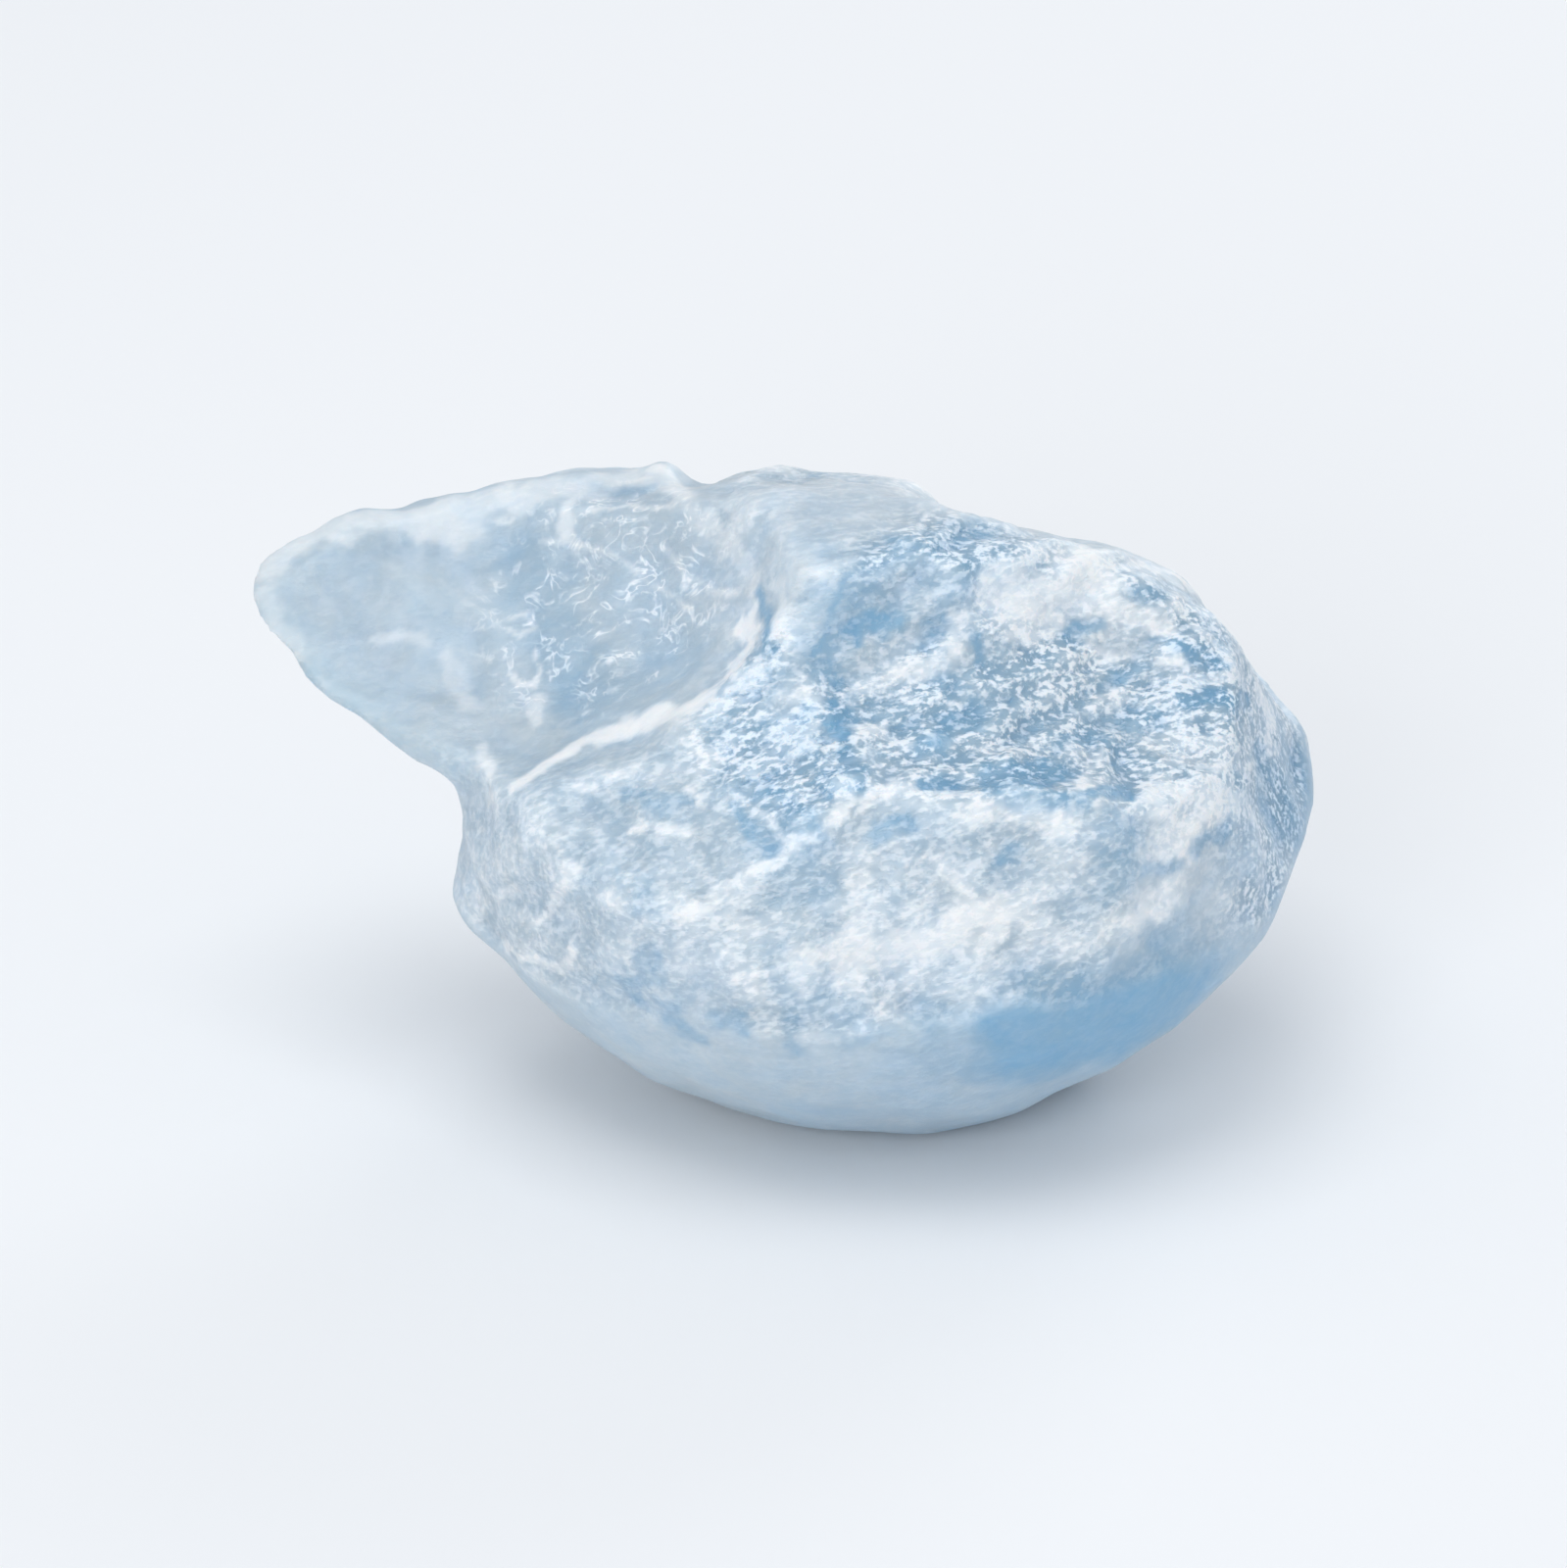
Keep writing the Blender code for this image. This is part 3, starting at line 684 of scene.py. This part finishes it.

# %% [markdown]
# The strokes are only a part of it. Each kind of surface has its own frost to start with, its own
# mottle (how far clouds and streaks may change the frost) and its own splinters (how far the
# finest flecks may, which are partly splinters and partly painted glints). Edges are whiter by
# themselves, because they are bruised first. Splinter tips are whiter as a painted highlight, and
# every facet is a little whiter or clearer than the next as painted light, as it catches the light
# in another way. Where splinters are dense, the blue crystal is greyed with painted shade.

# %% Mix the frost
PAINT_BY_KIND = {
    # frost, mottle, splinters
    "worn": (0.40, 0.20, 0.10),
    "scoop": (0.32, 0.16, 0.08),
    "front": (0.43, 0.50, 0.36),
    "left": (0.42, 0.50, 0.28),
    "rough": (0.42, 0.68, 0.62),
    "rest": (0.45, 0.20, 0.16),
    "back": (0.0, 0.35, 0.17),
}
# How far a point stands out or in, in millimetres: where it begins to count, and where in full.
EDGE_MM, HOLLOW_MM, TIP_MM = (0.03, 0.22), (0.03, 0.20), (0.004, 0.03)
# How much each facet's painted light shows in the frost: each facet is whiter or clearer
# by the way it catches the light.
FACET_LIGHT_BY_KIND = (("rough", 1.0), ("front", 0.4), ("left", 0.3))
BLOTCH_MM = 5.5
# Towards the right end the break is bluer and full of white flecks.
RIGHT_END = (17.0, 20.5)
# A small smooth plate lies between the scoop and the hollow.
PLATE_BALLS = (((0.9, -5.0, 24.0), 2.4),)

edges = ramp(ridge, *EDGE_MM)
hollows = ramp(-ridge, *HOLLOW_MM)
tip_highlights = ramp(tip, *TIP_MM)
facet_light = sum(share * kinds[kind] for kind, share in FACET_LIGHT_BY_KIND)
right_end = broken * ramp(points[:, 0], *RIGHT_END)
plate = near(points, PLATE_BALLS)
# How much each of these adds to the frost and its painted highlights where it is in full, and
# where it is
frost_and_highlight_changes = (
    (0.45, white),
    (-0.45, blue),
    (0.15, edges * (broken - scoop)),
    # Splinter tips are whiter: a painted highlight.
    (0.12, rough * tip_highlights),
    (-0.15, rough * hollows),
    # Each facet whiter or clearer by how it catches the light: painted light.
    (0.10, facet_light * large_shade),
    (0.15, facet_light * small_shade),
    (0.35, back * lumps(points, BLOTCH_MM)),
    (0.30, back * edges),
    (-0.20, back * hollows),
    (0.08, right_end),
    (-0.06, plate),
)
frost_and_highlights, mottle, splinters = (
    sum(PAINT_BY_KIND[kind][column] * share for kind, share in kinds.items())
    for column in range(3)
)
frost_and_highlights += sum(weight * where for weight, where in frost_and_highlight_changes)
print("more frosted than clear:", round(float((frost_and_highlights > 0.5).mean()), 2), "of the skin")

# %% [markdown]
# Blueness says how blue the clear parts are. On the chip they are bluest in clean hollows and to
# the right, where the light passes through more crystal. The splinters are densest in the right
# part of the hollow and at the right end, and the curls, fine wandering lines of frost, lie in
# the scoop. All five masks are kept on the skin, where the material can read them.

# %% Mix and keep the other masks
BASE_BLUENESS = 0.20
# From left to right, in millimetres: where the worn skin begins to turn blue and is in full, and
# the same for the hollow's splinters.
BLUE_SKIN = (-4.0, 14.0)
DENSE_SPLINTERS = (0.0, 6.0)
# Full white and the smooth plate have fewer splinters.
CALM_WHITE, CALM_PLATE = 0.3, 0.7
CURL_BALLS = (((-7.3, 2.0, 20.5), 7.5),)

blueness_changes = (
    (0.30, rough),
    (0.75, blue),
    (-0.20, white),
    (0.20, hollows * broken),
    (0.35, kinds["worn"] * ramp(points[:, 0], *BLUE_SKIN)),
    (0.50, right_end),
    (-0.15, plate),
)
splinter_changes = (
    (0.33, rough * ramp(points[:, 0], *DENSE_SPLINTERS)),
    (0.90, rough * small_shade),
    (0.55, right_end),
    (0.825, right_end * large_shade),
)
blueness = BASE_BLUENESS + sum(weight * where for weight, where in blueness_changes)
splinters += sum(weight * where for weight, where in splinter_changes)
splinters *= (1 - CALM_WHITE * np.minimum(white, 1)) * (1 - CALM_PLATE * plate)
masks = {
    "frost_and_highlights": frost_and_highlights,
    "blueness": blueness,
    "mottle": mottle,
    "splinters": splinters,
    "curls": near(points, CURL_BALLS) * broken,
}
for name, values in masks.items():
    attribute = stone.data.attributes.new(name, "FLOAT", "POINT")
    attribute.data.foreach_set("value", values.astype(np.float32))
    print("mask", name, "is", round(float(values.mean()), 2), "on average")

# %% [markdown]
# ## The material
#
# Celestite is a clear mineral, clouded by fractures that are far too small to model. Light goes
# in, wanders about between them and comes out again as a milky glow. A scattering volume inside
# the stone would be nearest to the truth, but slow and noisy to render. So one material mixes
# light that scatters just under the surface, which gives the milk, with a share that passes
# through, which gives the depth. Frosted places scatter more and pass less.

# %% Start the material
# Clouded crystal: to the eye milky white where it is frosted, icy blue and deep where it is
# clean.
material = bpy.data.materials.new("clouded celestite crystal")
material.use_nodes = True
tree = material.node_tree


def add_node(kind, inputs, output=0, **settings):
    """Adds a shader node and gives one of its outputs. Inputs are values or other outputs."""
    node = tree.nodes.new(kind)
    for setting, value in settings.items():
        setattr(node, setting, value)
    for socket, value in inputs.items():
        if isinstance(value, bpy.types.NodeSocket):
            tree.links.new(value, node.inputs[socket])
        else:
            node.inputs[socket].default_value = value
    return node.outputs[output]


read = {name: add_node("ShaderNodeAttribute", {}, "Fac", attribute_name=name) for name in masks}
print("masks that the material reads:", ", ".join(read))

# %% [markdown]
# Noise breaks the masks up, from clouds of two or three millimetres to flecks of a quarter of a
# millimetre. Streaks and flecks are drawn out along the layers, like the facets. Real splinters
# are finer still, hundredths of a millimetre, but so small they would blur into plain grey, and
# the flecks are drawn coarser so that the splintered look is kept. The brightest flecks also
# stand in for glints off the splinters, which is painted light.

# %% Make the noise
NOISE_ROUGHNESS = 0.6

place = add_node("ShaderNodeTexCoord", {}, "Object")
turn = Vector((1, 0, 0)).rotation_difference(Vector(SPLINTER_RUN)).to_euler()
drawn_out = add_node(
    "ShaderNodeMapping",
    {"Vector": place, "Rotation": turn, "Scale": (SPLINTER_STRETCH, 1, 1)},
    vector_type="TEXTURE",
)
noise_kinds = {
    # millimetres between clouds, detail, distortion, and the places that it is read at
    "clouds": (2.4, 3, 0.6, place),
    "streaks": (0.85, 3, 0.0, drawn_out),
    "curls": (1.3, 2, 1.2, place),
    "flecks": (0.25, 2, 0.0, drawn_out),
    "tints": (3.1, 3, 0.5, place),
}
noises = {}
for name, (spacing, detail, distortion, vector) in noise_kinds.items():
    inputs = {"Vector": vector, "Scale": 1 / (spacing * MM), "Roughness": NOISE_ROUGHNESS}
    inputs |= {"Detail": detail, "Distortion": distortion}
    noises[name] = add_node("ShaderNodeTexNoise", inputs, "Fac")
print("kinds of noise:", len(noises))

# %% [markdown]
# The frost is the painted frost plus the noise. Clouds and streaks swing it up and down by the
# mottle, curls are the thin lines where their noise crosses its middle, and flecks swing it by the
# splinters; the brightest flecks are partly painted glints. The colour follows: frost hides the
# crystal below it, both turn bluer together, and dense splinters grey the blue with painted shade.

# %% Frost the surface
CLOUD_SWING, STREAK_SWING = 0.70, 0.40
STREAK_RANGE = {"From Min": 0.42, "From Max": 0.60}
NOISE_MIDDLE = 0.5
CURL_RANGE = {"From Max": 0.045, "To Min": 0.6, "To Max": 0.0}
FLECK_RANGE = {"From Min": 0.44, "From Max": 0.62, "To Min": -0.45, "To Max": 0.55}

streaks = add_node("ShaderNodeMapRange", {"Value": noises["streaks"], **STREAK_RANGE})
# Half of both swings is taken off, so that the noise adds as much as it takes away.
unrest = add_node(
    "ShaderNodeMath",
    {0: streaks, 1: STREAK_SWING, 2: -(CLOUD_SWING + STREAK_SWING) / 2},
    operation="MULTIPLY_ADD",
)
unrest = add_node(
    "ShaderNodeMath", {0: noises["clouds"], 1: CLOUD_SWING, 2: unrest}, operation="MULTIPLY_ADD"
)
clouded = add_node(
    "ShaderNodeMath", {0: unrest, 1: read["mottle"], 2: read["frost_and_highlights"]}, operation="MULTIPLY_ADD"
)
off_middle = add_node(
    "ShaderNodeMath", {0: noises["curls"], 1: NOISE_MIDDLE}, operation="SUBTRACT"
)
off_middle = add_node("ShaderNodeMath", {0: off_middle}, operation="ABSOLUTE")
curls = add_node("ShaderNodeMapRange", {"Value": off_middle, **CURL_RANGE})
curls = add_node("ShaderNodeMath", {0: curls, 1: read["curls"]}, operation="MULTIPLY")
clouded = add_node(
    "ShaderNodeMath", {0: curls, 1: streaks, 2: clouded}, operation="MULTIPLY_ADD", use_clamp=True
)
# Flecks are partly splinters and partly painted glints.
flecks = add_node("ShaderNodeMapRange", {"Value": noises["flecks"], **FLECK_RANGE})
# From here the frost also carries painted glints, besides the painted highlights on tips and
# facets.
frosted = add_node(
    "ShaderNodeMath",
    {0: flecks, 1: read["splinters"], 2: clouded},
    operation="MULTIPLY_ADD",
    use_clamp=True,
)
print("nodes so far:", len(tree.nodes))

# %% Colour the crystal
TINT_SWING = 1.2
BLUE_RANGE = {"From Min": 0.6, "From Max": 1.8}
# A colour mix has its share, its first and its second colour in these sockets, and its result
# in this output.
SHARE, FIRST, SECOND, MIXED = 0, 6, 7, 2

tinted = add_node(
    "ShaderNodeMath",
    {0: noises["tints"], 1: TINT_SWING, 2: read["blueness"]},
    operation="MULTIPLY_ADD",
)
bluish = add_node("ShaderNodeMapRange", {"Value": tinted, **BLUE_RANGE})
# Clean blue crystal, greyer where splinters are dense: painted shade in the gaps between them
colour_inputs = {SHARE: read["splinters"], FIRST: srgb("#86C1E6"), SECOND: srgb("#80B2D2")}
blue_crystal_and_shade = add_node("ShaderNodeMix", colour_inputs, MIXED, data_type="RGBA")
# Crystal without and with its blue
colour_inputs = {SHARE: bluish, FIRST: srgb("#B2CAD8"), SECOND: blue_crystal_and_shade}
crystal = add_node("ShaderNodeMix", colour_inputs, MIXED, data_type="RGBA")
# Frost that is white, and frost that the blue shines through
colour_inputs = {SHARE: bluish, FIRST: srgb("#F2F4F5"), SECOND: srgb("#DAECFD")}
frost_colour = add_node("ShaderNodeMix", colour_inputs, MIXED, data_type="RGBA")
colour_inputs = {SHARE: frosted, FIRST: crystal, SECOND: frost_colour}
colour = add_node("ShaderNodeMix", colour_inputs, MIXED, data_type="RGBA")
print("nodes so far:", len(tree.nodes))

# %% [markdown]
# Celestite bends light about as much as dense glass: its refractive index is 1.62. A fresh
# cleavage face of it gleams, but the fractures of this chip have a satin sheen, duller where it
# is frosted. The flecks are also a grain of a few hundredths of a millimetre, which is low enough
# for a bump. Blue light passes through the stone more easily than red, so thick parts look bluer
# than thin ones.

# %% Let the light in
CELESTITE_IOR = 1.62
CLEAR_ROUGHNESS, FROSTED_ROUGHNESS = 0.30, 0.55
CLEAR_PASSES, FROSTED_PASSES = 0.30, 0.04
PASSING_RANGE = {"From Min": 0.2, "From Max": 0.8}
SCATTERED_SHARE = 0.4
# Red light is stopped sooner than blue on its way under the surface.
SCATTER_REACH, SCATTER_BY_COLOUR = 2.5 * MM, (0.6, 0.85, 1.0)
GRAIN_HEIGHT = 0.03 * MM
ABSORPTION_DENSITY = 30.0

passing = add_node(
    "ShaderNodeMapRange",
    {"Value": frosted, **PASSING_RANGE, "To Min": CLEAR_PASSES, "To Max": FROSTED_PASSES},
)
roughness = add_node(
    "ShaderNodeMapRange",
    {"Value": frosted, "To Min": CLEAR_ROUGHNESS, "To Max": FROSTED_ROUGHNESS},
)
grain = add_node("ShaderNodeMath", {0: flecks, 1: read["mottle"]}, operation="MULTIPLY")
grained = add_node(
    "ShaderNodeBump", {"Height": grain, "Strength": 1.0, "Distance": GRAIN_HEIGHT}, "Normal"
)
tinting = add_node(
    "ShaderNodeVolumeAbsorption", {"Color": srgb("#B4D8EC"), "Density": ABSORPTION_DENSITY}
)
crystal_shader = tree.nodes["Principled BSDF"]
crystal_shader.inputs["IOR"].default_value = CELESTITE_IOR
crystal_shader.inputs["Subsurface Weight"].default_value = SCATTERED_SHARE
crystal_shader.inputs["Subsurface Radius"].default_value = SCATTER_BY_COLOUR
crystal_shader.inputs["Subsurface Scale"].default_value = SCATTER_REACH
tree.links.new(colour, crystal_shader.inputs["Base Color"])
tree.links.new(passing, crystal_shader.inputs["Transmission Weight"])
tree.links.new(roughness, crystal_shader.inputs["Roughness"])
tree.links.new(grained, crystal_shader.inputs["Normal"])
tree.links.new(tinting, tree.nodes["Material Output"].inputs["Volume"])
stone.data.materials.append(material)
print("material:", material.name, "with", len(tree.nodes), "nodes")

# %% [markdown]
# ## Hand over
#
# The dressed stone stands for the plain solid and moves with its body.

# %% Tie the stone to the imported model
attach(stone, "root")
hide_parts("celestite_stone")
print("tied:", stone.name)
